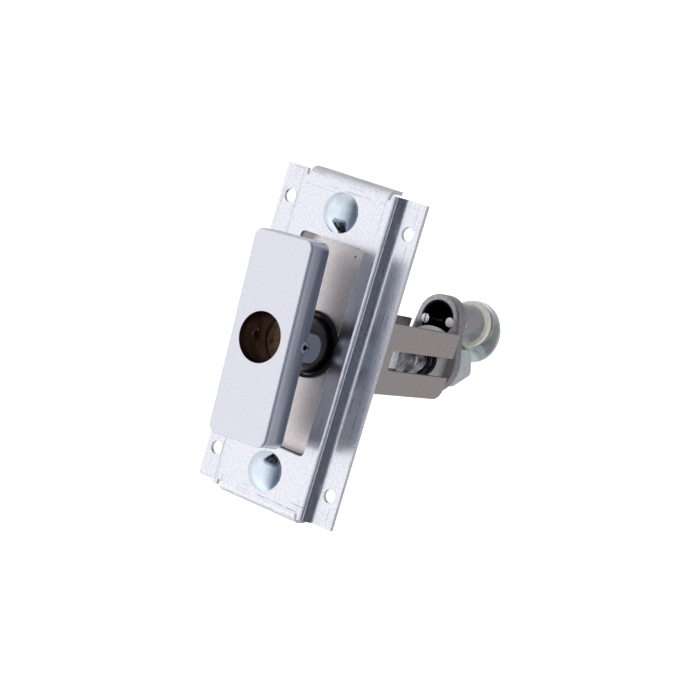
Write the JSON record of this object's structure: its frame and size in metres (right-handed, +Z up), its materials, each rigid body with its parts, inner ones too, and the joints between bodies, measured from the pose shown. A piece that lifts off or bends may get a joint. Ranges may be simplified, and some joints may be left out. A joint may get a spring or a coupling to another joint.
{
  "type": "t-handle lock",
  "caption": "Pop-out T-handle lock on a recessed hat-section plate, with a slotted yoke behind it and a swing arm carrying a barrel and a latch disc.",
  "frame": {"origin": "centre of the four mounting holes on the flanges' front plane, on the shaft's axis", "axes": "+X to the right seen from the front, +Y back into the door along the shaft, +Z up"},
  "size_m": [0.0668, 0.1427, 0.1298],
  "materials": {
    "galvanised": "galvanised sheet with faint rolling streaks",
    "stainless": "warm grey stainless sheet, dull",
    "zinc": "bright blue-white zinc plating",
    "rubber": "black, dull",
    "steel": "plain bright steel",
    "black_spring": "black oxide",
    "cast_arm": "grey cast metal, satin",
    "barrel_steel": "plain grey steel",
    "nylon": "milky nylon",
    "satin_zinc": "pale satin casting with fine speckle",
    "gunmetal": "dark gunmetal, half gloss",
    "brass": "worn brass",
    "disc_steel": "polished zinc plate, slightly greenish"
  },
  "bodies": {
    "frame": {"mounting_bracket": "galvanised", "yoke_bracket": "stainless", "carriage_bolts": "zinc", "bolt_washers": "zinc", "bolt_nuts": "zinc", "stem_gasket": "rubber", "stem_bushing": "steel"},
    "spindle": {"drive_spindle": "zinc", "front_nut": "zinc", "nut_washer": "zinc", "seat_nut": "zinc", "arm_spring": "black_spring", "disc_washer": "steel", "swing_arm": "cast_arm", "lock_washer": "steel", "lock_nut": "zinc", "latch_barrel": "barrel_steel", "slotted_pin": "steel", "dowel_pin": "steel", "latch_pin": "steel", "nylon_washer": "nylon"},
    "handle": {"handle_shell": "satin_zinc", "handle_stem": "gunmetal", "cross_pins": "steel", "stem_clip": "black_spring", "pop_out_spring": "steel"},
    "driver": {"lock_driver": "brass"},
    "disc": {"latch_disc": "disc_steel"}
  },
  "joints": [
    {"name": "handle_turn", "type": "hinge", "parent": "frame", "child": "spindle", "pos_m": [0, 0, 0], "axis": [0, 1, 0], "range_deg": [-86.6, 3.4]},
    {"name": "handle_pop", "type": "slide", "parent": "spindle", "child": "handle", "axis": [0, 1, 0], "range_m": [0, 0.0104], "stiffness_N_per_m": 500, "springref_m": -0.012, "deforming": ["pop_out_spring"]},
    {"name": "driver_turn", "type": "hinge", "parent": "handle", "child": "driver", "pos_m": [0, 0, 0], "axis": [0, 1, 0], "range_deg": [0, 90]},
    {"name": "disc_spin", "type": "hinge", "parent": "spindle", "child": "disc", "pos_m": [-0.00102, 0.109, 0.01716], "axis": [0, 1, 0], "continuous": true}
  ]
}
